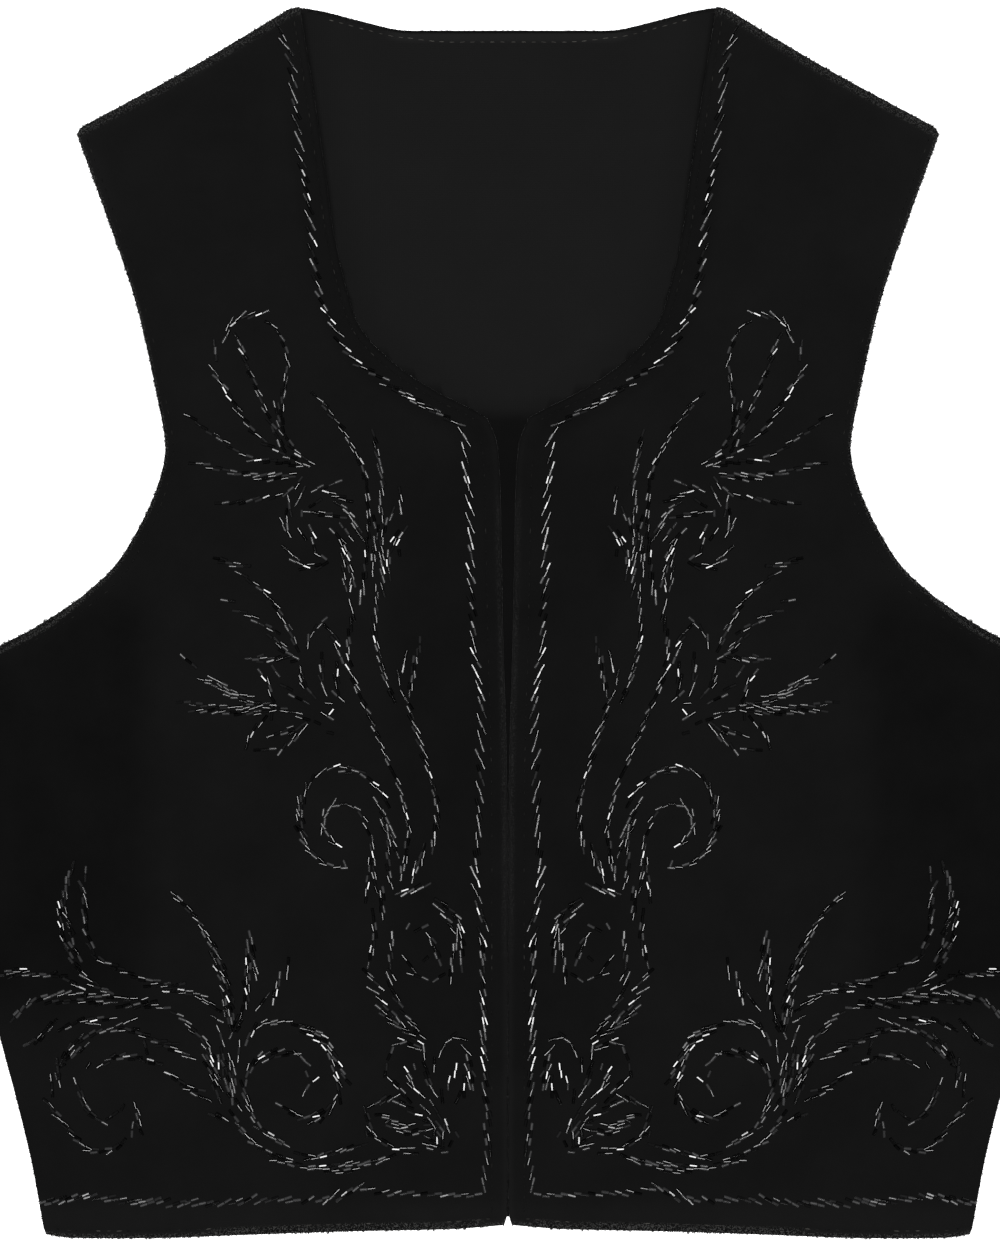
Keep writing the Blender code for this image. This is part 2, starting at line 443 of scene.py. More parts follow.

# %% [markdown]
# ## Cloth
# Each piece of cloth is a thin closed sheet. Cloth simulation could settle it, but the vest
# is pressed flat and stiffened by its beads, so a fine grid is laid on the draft and moved
# by rules: a low dome over the bust, a rolled rim, a groove under each row of
# topstitching, seams that come down onto the back, and a few soft troughs and ridges. Low in
# the armhole the front is drawn in and the back is stretched, so a sliver of the back shows.

# %% A grid laid on a four-sided piece
STACK = {  # the middle of each wall's height and its thickness, in millimetres
    "back": (0.8, 1.6),
    "back_lining": (2.35, 0.9),
    "front": (4.4, 2.4),
}
FRONT_COLUMNS = ((0, 0.0), (4, 0.005), (16, 0.045), (80, 0.955), (92, 0.995), (96, 1.0))
FRONT_ROWS = (
    (0, 0.0), (4, 0.0016), (14, 0.013), (72, 0.4), (104, 0.6), (158, 0.987), (168, 0.9984),
    (172, 1.0),
)
BACK_COLUMNS = ((0, 0.0), (60, 0.94), (72, 0.996), (76, 1.0))
BACK_ROWS = ((0, 0.0), (4, 0.002), (14, 0.015), (60, 0.4), (112, 0.98), (122, 0.998), (126, 1.0))


def laid_grid(name, column_stops, row_stops):
    """A flat grid, and each vertex's shares across and up the piece."""
    columns, rows = column_stops[-1][0], row_stops[-1][0]
    grid = bmesh.new()
    bmesh.ops.create_grid(grid, x_segments=columns, y_segments=rows, size=0.5)
    mesh = mesh_from(grid, name)
    spots = np.empty(len(mesh.vertices) * 3)
    mesh.vertices.foreach_get("co", spots)
    spots = spots.reshape(-1, 3) + 0.5
    across = np.interp(spots[:, 0] * columns, *np.transpose(column_stops))
    up = np.interp(spots[:, 1] * rows, *np.transpose(row_stops))
    return mesh, across, up


def make_cloth(layer, mesh, flat, above, to_edge, pile_and_painted_light, finish, thinnest=0.0, half=False):
    """A closed sheet from laid points, heights, gaps to the edge, and pile and painted light."""
    middle, thickness = STACK[layer]
    height = (middle + above) * MM
    mesh.vertices.foreach_set("co", np.column_stack([flat, height]).ravel())
    for attribute, values in zip(("nap_and_painted_light", "ruffle"), pile_and_painted_light):
        mesh.attributes.new(attribute, "FLOAT", "POINT").data.foreach_set("value", values)
    mesh.update()
    if mesh.polygons[0].normal.z < 0.0:
        mesh.flip_normals()
    piece = put_in_scene(mesh)
    inward = np.clip(1.0 - to_edge / (0.9 * thickness), 0.0, 1.0)
    rim = np.clip(np.sqrt(1.0 - inward * inward), thinnest, 1.0)
    group = piece.vertex_groups.new(name="wall")
    group.add(np.flatnonzero(rim >= 1.0).tolist(), 1.0, "REPLACE")
    for i in np.flatnonzero(rim < 1.0).tolist():
        group.add([i], float(rim[i]), "REPLACE")
    if half:
        other = piece.modifiers.new("other_half", "MIRROR")
        other.merge_threshold = 0.05 * MM
    wall = piece.modifiers.new("wall", "SOLIDIFY")
    wall.thickness, wall.offset = thickness * MM, 0.0
    wall.vertex_group, wall.thickness_vertex_group = "wall", 0.12
    mesh.materials.append(finish)
    mesh.shade_smooth()
    return piece


print("stack of", list(STACK))


# %% Shares and folds
def eased(share):
    """0 to 1 with no slope at either end."""
    share = np.clip(share, 0.0, 1.0)
    return share * share * (3.0 - 2.0 * share)


def near(values, middle, width):
    """1 where a value is at the middle, and less on both sides of it."""
    return np.exp(-(((values - middle) / width) ** 2))


def soft_fold(points, folds):
    """The height of a few long soft ridges and troughs."""
    height = 0.0
    for x, y, turn, length, width, rise in folds:
        way = np.array([math.cos(math.radians(turn)), math.sin(math.radians(turn))])
        off = points / MM - (x, y)
        along, aside = off @ way, off @ (-way[1], way[0])
        height = height + rise * near(along, 0.0, length) * near(aside, 0.0, width)
    return height


def armhole_ease(up):
    """How far the back stands out of the low armhole, and how far the front shrinks from it."""
    stretched = 1.4 * np.sin(math.pi * np.clip((up - UNDERARM_AT) / 0.3, 0.0, 1.0))
    drawn_in = 1.7 * eased((0.56 - up) / 0.07) * eased((up - UNDERARM_AT) / 0.03)
    return stretched * MM, drawn_in * MM


print("a share of 0.25 eases to", eased(0.25))

# %% Velvet fronts
FRONT_FOLDS = (  # x, y, heading in degrees, length, width, rise; in millimetres
    (150, -75, 90, 95, 9, 0.5), (196, -90, 96, 110, 24, -0.5), (60, 20, 80, 120, 22, 0.35),
    (110, -60, 65, 90, 18, 0.45), (118, 150, 62, 70, 16, 0.5), (100, -215, 4, 80, 10, -0.3),
    (30, -90, 88, 120, 9, -0.3),
)


def front_nap_and_painted_light(x, y, to_centre, to_neck, to_arm, to_hem, to_shoulder, to_seam):
    """Nap, painted shade and painted highlights of a front, and how ruffled its pile is."""
    # Painted shade on the side, where the cloth turns away from the light.
    painted_side_shade = eased((x - 140) / 22) * eased((y + 172) / 24) * eased((24 - y) / 24)
    chest = 0.06 * eased((y - 40) / 100)
    middle = 0.1 * eased((56 - x) / 16) * eased((82 - y) / 20) * eased((y + 205) / 30)
    neck_strip = 0.14 * eased((16 - to_neck) / 6) * eased((235 - y) / 40)
    hem_strip = 0.2 * eased((-240 - y) / 8)
    # Painted highlights on the rolled rims of the shoulder seam, the hem and the centre edge.
    painted_seam_highlight = 0.45 * near(to_seam, 0.0, 4.0) * eased((y - 150) / 60)
    painted_hem_highlight = 0.4 * near(to_hem, 0.0, 1.6)
    painted_centre_highlight = 0.55 * near(to_centre, 0.0, 1.5) * eased((12 - y) / 14)
    painted_centre_highlight = painted_centre_highlight + 0.16 * near(to_centre, 1.0, 1.5) * eased((y - 4) / 12)
    # Painted highlight on the armhole rim, and a broader one beside it where the cloth rises.
    painted_armhole_highlight = 0.7 * near(to_arm, 0.5, 0.4) * eased((x - 160) / 20)
    painted_armhole_highlight = painted_armhole_highlight + 0.16 * near(to_arm, 0.0, 6.0) * eased((x - 150) / 20)
    nap_and_painted_light = 0.53 - 0.26 * painted_side_shade + chest - middle - neck_strip + hem_strip
    nap_and_painted_light = np.clip(nap_and_painted_light + painted_seam_highlight + painted_hem_highlight + painted_armhole_highlight + painted_centre_highlight, 0.0, 1.3)
    patchy = 0.75 + 0.45 * np.sin(x / 5.5) * np.sin(x / 17.0)
    speckled = near(to_centre, 1.2, 1.0) * eased((y + 150) / 30)
    ruffle = (
        patchy * eased((4.4 - to_hem) / 1.6) * eased((132 - x) / 16) * eased((x - 9) / 6)
        + 1.2 * eased((2.2 - to_hem) / 1.0) + 0.9 * eased((1.8 - to_arm) / 1.0)
        + 0.9 * eased((5.0 - to_shoulder) / 2.5) + 0.3 * speckled * eased((58 - y) / 12)
    )
    return nap_and_painted_light - 0.4 * ruffle, np.clip(ruffle, 0.0, 1.3)


def front_surface(across, up):
    """Laid points of a front, with heights, gaps to the edge, and pile and painted light."""
    flat = front_shape(across, up)
    *to_free, to_shoulder, to_side = gaps_to(
        (CENTRE_FRONT, FRONT_NECK, ARMHOLE, FRONT_HEM, SHOULDER, SIDE_SEAM), flat
    )
    to_seam = np.minimum(to_shoulder, to_side)
    to_edge = np.minimum.reduce([*to_free, to_seam])
    sewn = (to_free[0], to_free[1], to_free[3])
    side, *ends = [
        np.linalg.norm(front_shape(a, u) - flat, axis=1) / MM
        for a, u in ((1.0, up), (0.0, up), (across, 0.0), (across, 1.0))
    ]
    dome = 3.2 * eased(side / 88) * eased(np.minimum.reduce(ends) / 40)
    roll = 0.28 * near(np.minimum.reduce(sewn), 2.0, 1.3)
    groove = sum(0.3 * near(gap, inset, 0.8) for gap, inset in zip(sewn, (6.5, 3.2, 3.3)))
    down = 1.35 * (1.0 - eased(to_seam / 9))
    above = dome + roll - groove - down + eased(to_edge / 14) * soft_fold(flat, FRONT_FOLDS)
    pile_and_painted_light = front_nap_and_painted_light(*flat.T / MM, *to_free, to_shoulder, to_seam)
    stretched, drawn_in = armhole_ease(up)
    return flat + ((stretched - drawn_in) * across**12)[:, None], above, to_edge, pile_and_painted_light


fronts = {}
for name, side in (("velvet_front_left", 1.0), ("velvet_front_right", -1.0)):
    mesh, across, up = laid_grid(name, FRONT_COLUMNS, FRONT_ROWS)
    flat, above, to_edge, pile_and_painted_light = front_surface(across, up)
    fronts[side] = make_cloth("front", mesh, flat * (side, 1.0), above, to_edge, pile_and_painted_light, velvet)
    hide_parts(name.replace("velvet_", ""))
print("each front has", len(mesh.polygons), "squares")

# %% Velvet back
mesh, across, up = laid_grid("velvet_back", BACK_COLUMNS, BACK_ROWS)
flat = back_shape(across, up) + (armhole_ease(up)[0] * across**12)[:, None]
back_gaps = gaps_to((BACK_HEM, BACK_NECK, SHOULDER, SIDE_SEAM, ARMHOLE), flat)
to_edge = np.minimum.reduce(back_gaps)
to_edge[across > 0.9999] = 0.0
x, y = flat.T / MM
nap_and_painted_light = 0.3 + 0.65 * eased((y - 247) / 5) * eased((70 - x) / 16)
ruffle = 0.7 * eased((x - 150) / 8) * eased((4.0 - back_gaps[4]) / 1.5)
ruffle = ruffle + 0.25 * eased((y - 249) / 4)
velvet_back = make_cloth("back", mesh, flat, 0.0 * up, to_edge, (nap_and_painted_light, ruffle), velvet, half=True)
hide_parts("back")
print("the back has", len(mesh.polygons), "squares a side")

# %% Satin lining
LINING_FOLDS = (  # with the same columns as the folds of the fronts
    (0, 176, 90, 60, 42, 1.3), (46, 226, 60, 40, 8, 0.5), (0, 112, 0, 40, 9, -0.3),
)
mesh, across, up = laid_grid("satin_lining", BACK_COLUMNS, BACK_ROWS)
width = np.linalg.norm(back_shape(1.0, up) - back_shape(0.0, up), axis=1)
length = np.linalg.norm(back_shape(across, 1.0) - back_shape(across, 0.0), axis=1)
high_end, low_end = 1.5 * MM / length, 8.0 * MM / length
drawn_in = np.where(up < UNDERARM_AT, 9.0, 2.2) * MM
flat = back_shape(across * (1.0 - drawn_in / width), low_end + up * (1.0 - high_end - low_end))
to_front, *lining_gaps = gaps_to((FRONT_NECK, BACK_HEM, BACK_NECK, SHOULDER, ARMHOLE), flat)
to_edge = np.clip(np.minimum.reduce(lining_gaps) - 1.3, 0.0, None)
x, y = flat.T / MM
neck_x, neck_y = smooth_line(FRONT_NECK).T / MM
in_neck = x < np.interp(y, neck_y, neck_x)
above = soft_fold(flat, LINING_FOLDS) * eased(to_front / 20) * (in_neck & (y > 86.0))
turned_in = np.interp(lining_gaps[1], (1.0, 4.4, 5.6), (0.42, 0.3, 0.0)) * eased((54 - x) / 8)
# Painted shade on the lining near the fronts' neck edges and in the gap below the neck corner.
nap_and_painted_light = (0.39 + 0.11 * eased(to_front / 17) + turned_in) * eased((y - 84) / 9) * in_neck
satin_lining = make_cloth(
    "back_lining", mesh, flat, above, to_edge, (nap_and_painted_light,), lining_finish, thinnest=0.4, half=True
)
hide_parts("back_lining")
bpy.context.view_layer.update()
print("the lining has", len(mesh.polygons), "squares a side")

# %% Each sheet joins the root, and what it lies on is printed
HALF_WIDTH, FULL_LENGTH = 236.0 * MM, 518.0 * MM
for piece, width, under, area, slot in (
    (fronts[1.0], HALF_WIDTH, "satin_lining", FRONT_AREA, "black_velvet"),
    (fronts[-1.0], HALF_WIDTH, "satin_lining", FRONT_AREA, "black_velvet"),
    (velvet_back, 2 * HALF_WIDTH, "light_table", BACK_AREA, "black_velvet"),
    (satin_lining, 2 * HALF_WIDTH, "velvet_back", BACK_AREA, "black_lining"),
):
    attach(piece, "root")
    print(piece.name, "lies on", under)

# %% [markdown]
# ## Many small things
# There are thousands of beads, stitches and hairs. Each kind has one small template made
# with bmesh, and its copies are joined into one mesh, turned and placed by arrays. Instances
# would be lighter, but a joined mesh exports as it is. Every place is found on the real
# surface by dropping a ray onto the cloth, and the other half of the vest is its mirror.


# %% Strewing a template
def template_of(shape):
    """The points, faces and smooth faces of a small bmesh, which is then freed."""
    shape.verts.index_update()
    points = np.array([vertex.co[:] for vertex in shape.verts])
    faces = [[vertex.index for vertex in face.verts] for face in shape.faces]
    smooth = [face.smooth for face in shape.faces]
    shape.free()
    return points, faces, smooth


def joined_copies(name, templates, which, spots, ways, ups, rolls, stretch, tones):
    """One mesh of copies of the templates, X along each way and Z along each up."""
    asides = np.cross(ups, ways)
    corners, joined_faces, flags, shades, begun = [], [], [], [], 0
    for kind, (points, faces, smooth) in enumerate(templates):
        mine = np.flatnonzero(which == kind)
        cos, sin = np.cos(rolls[mine])[:, None], np.sin(rolls[mine])[:, None]
        x, y, z = points.T[:, None]
        along, across, above = x * stretch[mine][:, None], y * cos - z * sin, y * sin + z * cos
        placed = spots[mine][:, None]
        for steps, axes in ((along, ways), (across, asides), (above, ups)):
            placed = placed + steps[..., None] * axes[mine][:, None]
        corners.append(placed.reshape(-1, 3))
        step = len(points)
        joined_faces += [
            [i + begun + step * k for i in face] for k in range(len(mine)) for face in faces
        ]
        flags += smooth * len(mine)
        shades.append(np.repeat(tones[mine], step))
        begun += step * len(mine)
    mesh = bpy.data.meshes.new(name)
    mesh.from_pydata(np.concatenate(corners).tolist(), [], joined_faces)
    mesh.polygons.foreach_set("use_smooth", flags)
    shade = mesh.attributes.new("tone", "FLOAT", "POINT")
    shade.data.foreach_set("value", np.concatenate(shades))
    mesh.update()
    return mesh


def strew(name, finish, *copies):
    """A piece of joined copies on the left half, and its mirror image on the right."""
    left = joined_copies(f"{name}_left", *copies)
    left.materials.append(finish)
    right = left.copy()
    right.name = f"{name}_right"
    mirrored = bmesh.new()
    mirrored.from_mesh(right)
    bmesh.ops.scale(mirrored, verts=mirrored.verts, vec=(-1.0, 1.0, 1.0))
    bmesh.ops.reverse_faces(mirrored, faces=mirrored.faces)
    mirrored.to_mesh(right)
    mirrored.free()
    for mesh in (left, right):
        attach(put_in_scene(mesh), "root")
    print(name, "has", len(copies[1]), "copies a side")


# %% Places on the cloth
graph = bpy.context.evaluated_depsgraph_get()
DROPPED_FROM = 0.05  # metres, above everything
over = {
    "front": BVHTree.FromObject(fronts[1.0], graph),
    "back": BVHTree.FromObject(velvet_back, graph),
    "lining": BVHTree.FromObject(satin_lining, graph),
}


def on_cloth(flat, trees=("front",)):
    """Where a ray dropped at each flat point meets the cloth, and the cloth's way up."""
    spots, ups, met = [], [], []
    for x, y in flat:
        drops = [
            over[tree].ray_cast(Vector((x, y, DROPPED_FROM)), Vector((0.0, 0.0, -1.0)))[:2]
            for tree in trees
        ]
        hits = [drop for drop in drops if drop[0] is not None]
        spot, up = max(hits, key=lambda hit: hit[0].z, default=((x, y, 0.0), (0.0, 0.0, 1.0)))
        met.append(bool(hits))
        spots.append(tuple(spot))
        ups.append(tuple(up))
    return np.array(spots), np.array(ups), np.array(met)


def sew_on(name, templates, finish, places, angles, which, rolls, stretch, tones):
    """Strews what meets the cloth, each thing along the cloth at its flat angle."""
    spots, ups, met = places
    ways = np.column_stack([np.cos(angles), np.sin(angles), np.zeros(len(angles))])
    ways -= np.sum(ways * ups, axis=1)[:, None] * ups
    ways /= np.linalg.norm(ways, axis=1)[:, None]
    kept = [values[met] for values in (which, spots, ways, ups, rolls, stretch, tones)]
    strew(name, finish, templates, *kept)


print("rays fall on", list(over))

# %% [markdown]
# ## Beads
# A bugle is a short glass tube. Many are round, and show one thin bright line. The others
# are cut with six flat sides, and flash when a side faces the light. A template is a cone of
# even width with its caps pierced; one swept from a profile would be the same mesh with more
# steps. The beads are sewn as a stem stitch: two or three are strung on each stitch, every
# stitch leans over the line, and the next one starts beside it, so a line looks like a rope.

# %% Two kinds of bugle bead
BEAD_LENGTH, BEAD_WIDTH, BEAD_BORE = 3.0, 1.3, 0.55  # millimetres
BEAD_STEP = 3.3  # millimetres from one bead's middle to the next one's, on the same stitch
LAY_DOWN = Matrix.Rotation(math.pi / 2, 3, "Y")  # turns what stands on Z to lie along X


def bugle(sides, rounded):
    """A pierced rod, with its flat sides crisp or its wall smooth."""
    rod = bmesh.new()
    bmesh.ops.create_cone(
        rod, cap_ends=True, segments=sides, radius1=BEAD_WIDTH / 2 * MM,
        radius2=BEAD_WIDTH / 2 * MM, depth=BEAD_LENGTH * MM,
    )
    caps = [face for face in rod.faces if abs(face.normal.z) > 0.9]
    inset = (BEAD_WIDTH - BEAD_BORE) / 2 * math.cos(math.pi / sides) * MM
    bmesh.ops.inset_individual(rod, faces=caps, thickness=inset)
    rims = [edge for cap in caps for edge in cap.edges]
    bmesh.ops.delete(rod, geom=caps, context="FACES_ONLY")
    bmesh.ops.bridge_loops(rod, edges=rims)
    wall = [face for face in rod.faces if face.calc_center_median().xy.length > 0.55 * MM]
    if rounded:
        ends = {edge for face in wall for edge in face.edges if edge.calc_length() < 1.0 * MM}
        bmesh.ops.split_edges(rod, edges=list(ends))
        for face in wall:
            face.smooth = True
    else:
        ridges = {edge for face in wall for edge in face.edges if edge.calc_length() > 2.0 * MM}
        bmesh.ops.bevel(
            rod, geom=list(ridges), offset=0.08 * MM, segments=1, profile=0.5,
            affect="EDGES", material=-1,
        )
    bmesh.ops.rotate(rod, verts=rod.verts, matrix=LAY_DOWN)
    bmesh.ops.recalc_face_normals(rod, faces=rod.faces)
    return template_of(rod)


bugles = (bugle(8, rounded=True), bugle(6, rounded=False))  # with no roll, a side faces up
for points, faces, smooth in bugles:
    print("a bugle has", sum(len(face) - 2 for face in faces), "triangles")


# %% Stem stitch
beads = {"border": [], "motif": []}  # flat x, flat y, angle, how far it may tip in radians


def stem_stitch(kind, points, pitch, strung, slant, wander=0.25, lean=4.0, loose=0.08):
    """Strings beads on slanting stitches along a smooth line through a few points."""
    line = smooth_line(points)
    length = run_along(line)[-1]
    count = max(1, round((length / MM - BEAD_LENGTH) / pitch) + 1)
    for k in range(count):
        far = length * (k + 0.5) / count
        spot = points_at(line, far)
        ahead = points_at(line, far + 1.5 * MM) - points_at(line, far - 1.5 * MM)
        angle = math.atan2(ahead[1], ahead[0]) + math.radians(slant + chance.normal(0.0, lean))
        way = np.array([math.cos(angle), math.sin(angle)])
        spot = spot + chance.normal(0.0, wander * MM, 2)
        on_this = strung if isinstance(strung, int) else int(chance.choice(strung))
        for b in range(on_this):
            place = spot + way * (b - (on_this - 1) / 2) * BEAD_STEP * MM
            place = place + chance.normal(0.0, 0.09 * MM, 2)
            beads[kind].append((*place, angle + math.radians(chance.normal(0.0, 3.5)), loose))


def curl(centre, radii, angles, count=9):
    """Points of a spiral that turns from one angle, in degrees, to another."""
    shares = np.linspace(0.0, 1.0, count)
    turn = np.radians(np.interp(shares, (0, 1), angles))
    radius = np.interp(shares, np.linspace(0, 1, len(radii)), radii)
    return [
        (centre[0] + r * math.cos(t), centre[1] + r * math.sin(t)) for r, t in zip(radius, turn)
    ]


print("stitches lean to one side of every line")

# %% [markdown]
# The rope along the neck, the centre front and the hem is one line that never stops. Most of
# its stitches hold three beads. Along the hem they lean more and sit closer, so that two or
# three lie side by side. A bead on a slack thread may tip, which dims it.

# %% Rope round the edges
NECK_ROPE = (
    (96.6, 252.6), (95.2, 246.4), (91.3, 235.2), (88.9, 207.9), (85.8, 186), (83.6, 167),
    (80.4, 142.4), (76, 129.9), (67.5, 114.2), (56.9, 104.9), (46.6, 98),
)
CORNER_ROPE = ((46.6, 98), (36.3, 91.9), (26.9, 86.9))
FRONT_ROPE = (
    (24.9, 86.1), (20.3, 82.7), (18.6, 77.8), (17.9, 70.3), (17.6, 60), (16.5, 46), (15.9, 24),
    (15.4, 4), (14.2, -14), (11.8, -32), (11.8, -70), (12.8, -90), (14.3, -104), (13.6, -112),
    (12.4, -118),
)
LOW_ROPE = (
    (12.4, -118), (11, -128), (10.4, -150), (9.9, -180), (9.7, -192), (8.5, -210), (9.6, -228),
    (9.8, -240),
)
HEM_CORNER = ((11, -241.8), (24, -241), (40, -240.6), (54, -239.5), (62, -238.6))
HEM_ROPE = (
    (62, -238.6), (66, -240), (74, -241.8), (84, -243), (100, -243.2), (120, -244.4),
    (140, -244.8), (156, -244.2), (170, -242.4), (184, -243.2), (198, -244.5),
)
for points, pitch, strung, slant, wander, lean, loose in (
    (NECK_ROPE[:5], 7.2, 3, -18.0, 0.3, 3.0, 0.055),
    (NECK_ROPE[4:], 7.2, 3, -18.0, 0.3, 3.0, 0.115),
    (CORNER_ROPE, 5.4, 3, -11.0, 0.1, 2.0, 0.08),
    (FRONT_ROPE, 7.2, 3, -18.0, 0.35, 4.0, 0.045),
    (LOW_ROPE, 5.7, (2, 3), -15.0, 0.4, 4.0, 0.065),
    (HEM_CORNER, 6.4, 2, -12.0, 0.3, 4.0, 0.09),
    (HEM_ROPE, 5.2, (2, 3, 3), -19.0, 0.5, 5.0, 0.09),
):
    stem_stitch("border", points, pitch, strung, slant, wander, lean, loose)
print(len(beads["border"]), "beads in the rope of one front")

# %% [markdown]
# The flowers, scrolls and plumes are ordinary folk ones, each built from short stems and
# curls. A stem needs only a few points, because the line through them is smooth.

# %% Spray at the neck and the crowned curls below it
ONE_STITCH = 11.0  # millimetres: a straight stem shorter than this is one stitch


def embroider(stems, pitch=5.7, loose=0.1):
    """Long or bent stems in leaning stitches, and each short straight stem as one stitch."""
    for points in stems:
        length = math.dist(points[0], points[-1])
        if len(points) == 2 and length < ONE_STITCH:
            strung = max(1, round(length / BEAD_STEP))
            stem_stitch("motif", points, math.inf, strung, slant=-2.0, loose=loose)
        else:
            stem_stitch("motif", points, pitch, strung=(2, 2, 3), slant=-9.0, loose=loose)
    print(len(beads["motif"]), "beads so far in the motifs")


NECK_SPRAY = (
    ((84, 67.5), (93, 77), (96, 90), (93, 108), (96, 121), (102, 127.5)),
    ((102.5, 130.5), (114, 128), (120.5, 119)), ((124, 119), (122.5, 110.5)),
    ((125, 109), (115.5, 92), (104, 77), (84.5, 65.3)),
    ((114.5, 120.5), (107, 101), (94.5, 71.5)), ((98.5, 93), (95.5, 84.5)),
    ((136, 88.3), (122, 77.5), (109, 69.5), (86, 66)), ((132, 67.6), (110, 62.2), (89.5, 62.7)),
    ((107, 60.8), (90, 60.8)), ((123.5, 50.2), (103, 52.2), (93, 54.5), (86.5, 60.5)),
    ((90.5, 49), (84.8, 58.2)),
)
CROWNED_CURLS = (
    ((92, 52), (93, 41)), ((96.2, 44), (91.5, 35)), ((87.3, 47.5), (87.3, 43.5)),
    ((89, 40.5), (84.8, 34)), ((83, 41), (80.5, 30), (76.8, 26)),
    ((93, 31), (88.5, 25.5), (83, 23.6), (76, 24.8)), ((83, 56), (72, 59)),
    ((77, 55.2), (66, 51)), ((84, 48), (78.5, 52)), ((84, 47), (70, 44.3)),
    ((72, 51), (65.5, 44), (62, 36)), ((71.5, 42), (65, 34.5)),
    ((73, 38.5), (69.5, 31), (69, 13)), ((68.5, 31), (65.5, 18), (67, 13.5)),
)
VINE_TIPS = (
    ((81, 96), (70, 81.5), (60.5, 62), (59, 40), (60.5, 18), (62.8, 8)),
    ((57, 81), (53, 60), (53.7, 42.5)), ((56.5, 45), (55.5, 39), (57.5, 22)),
    ((45.3, 57), (45.8, 46)), ((48, 48.5), (52.5, 38), (53.2, 23), (52.5, 11)),
    ((43.5, 39), (50, 29), (50.3, 19.5)), ((46, 38.5), (49.5, 34.5)), ((47, 31), (46, 28.5)),
)
for stems in (NECK_SPRAY, CROWNED_CURLS, VINE_TIPS):
    embroider(stems)

# %% Stems and the flower in the middle
MIDDLE_STEMS = (
    ((65.2, 7.5), (67, -16), (58, -41), (46, -69), (42, -90), (45.7, -109)),
    ((55.3, 15.5), (55.5, -8), (48.3, -33.5)), ((37, -6.5), (42, -31)),
    ((44, -30), (36, -54), (30, -78), (32.5, -97)), ((35, -96), (40.5, -107)),
    ((42.2, -12), (44.5, -21)), ((46.6, -19.4), (46.5, -27)),
)
MIDDLE_SPRAYS = (
    ((123.5, 27.5), (118, 25.2), (111.5, 23.5)), ((114, 22), (102, 12.5), (94, 0), (88.8, -12)),
    ((121.5, 10.3), (115, 8.8)), ((115.5, 5.8), (105, 0.3), (97.3, -5)),
    ((99.5, -6.5), (91, -14)), ((137.8, -12.5), (131, -20.5)),
    ((126, -23), (117, -29.8), (110, -31.3)),
    ((130, -23), (121, -27.3), (108, -34), (95, -36.5), (84.3, -41.1)),
    ((139, -33), (127, -35.4), (116, -36.3), (104, -35.5)),
    ((134, -36.5), (122, -37.2), (112, -38.2), (100, -36.8)),
)
MIDDLE_FLOWER = (
    ((109.3, -15.6), (101, -15.6), (92.8, -14.2)), ((105.2, -14.2), (102.7, -13.3)),
    ((92.5, -16.7), (88.2, -15.9)), ((104.7, -20), (101, -26.5), (99, -33.4)),
    ((99.4, -18.3), (95.6, -23.2)), ((96, -25.5), (90.6, -28.1)), ((91.7, -30.2), (84.2, -35.4)),
    ((87, -19), (86.3, -25.5), (83.1, -30.3)), ((76.5, 1.5), (82.5, -4.5), (84.8, -10.7)),
    ((77, -1.5), (73.8, -5.6), (70.3, -15.6)), ((77.8, -13), (79, -20), (77.4, -28.7)),
    ((71.7, -17.8), (72.8, -29), (70.3, -33.5)), ((77.5, -33.9), (74, -34.2)),
    ((75.6, -38.8), (73.6, -36.9)), ((79.3, -37.6), (73, -41.4)), ((82.5, -41), (78.4, -43)),
    ((76.8, -45.4), (73, -47)), ((99.5, -37.8), (100.2, -42)),
    ((101.7, -40), (107.5, -46), (110.8, -53)), ((107, -53.7), (98, -53)),
    ((97.5, -54.6), (92, -50.5), (85.4, -44.8)), ((93.5, -44.8), (90.8, -43.7)),
    ((99.5, -47), (92.6, -46), (86.6, -43.2)),
)
for stems, loose in ((MIDDLE_STEMS, 0.1), (MIDDLE_SPRAYS, 0.13), (MIDDLE_FLOWER, 0.14)):
    embroider(stems, pitch=5.4, loose=loose)

# %% Scrolls beside the centre front and the corner flower
SCROLLS = (
    curl((70, -81.5), (19.8, 19, 21.5, 18.8, 17.4, 20, 22.3), (170, -95), 9),
    ((47, -99), (49.2, -90), (54.8, -75)), ((49.4, -112), (50.9, -98), (50.2, -89), (53, -83)),
    ((72.5, -62.8), (64.5, -62.6)), ((88.1, -73.5), (88.2, -84), (85.5, -90)),
    ((56, -112), (56.7, -104), (57.4, -95), *curl((69, -86), (9, 8.5, 10, 9, 8, 9),
     (160, -80), 6)), ((69.5, -100), (68, -104.5)), ((58.2, -101), (59, -110), (60.5, -118)),
    ((46.7, -114.3), (35, -111.3)), ((31, -116.5), (22, -124.5), (19.3, -136.5), (20, -146)),
    ((31, -118.3), (21.8, -131), (23.3, -140.5), (24.4, -152)), ((26, -147), (32.5, -152)),
    ((43.2, -129), (41.6, -126.5)), ((40.5, -130), (33, -126.7)),
    ((34.3, -131.3), (31, -136.5), (29.7, -144)), ((36.8, -144), (33, -141)),
    ((44.8, -140.3), (39.2, -147.7)), ((43, -147.5), (34, -150.6)),
)
LOW_STEMS = (
    ((52.3, -112.3), (53.6, -124.3)), ((56.7, -122), (56.5, -134), (59, -143.3)),
    ((61, -146), (54.3, -155)), ((59, -153.5), (51, -161.5), (44.8, -169.7)),
    ((55.2, -161.8), (49.5, -168), (36.2, -177.9)), ((48.5, -131), (49.8, -145), (47.6, -150.7)),
    ((51, -147.5), (48, -156), (44.5, -162.5)), ((43.8, -165), (40, -170), (35.9, -175.6)),
)
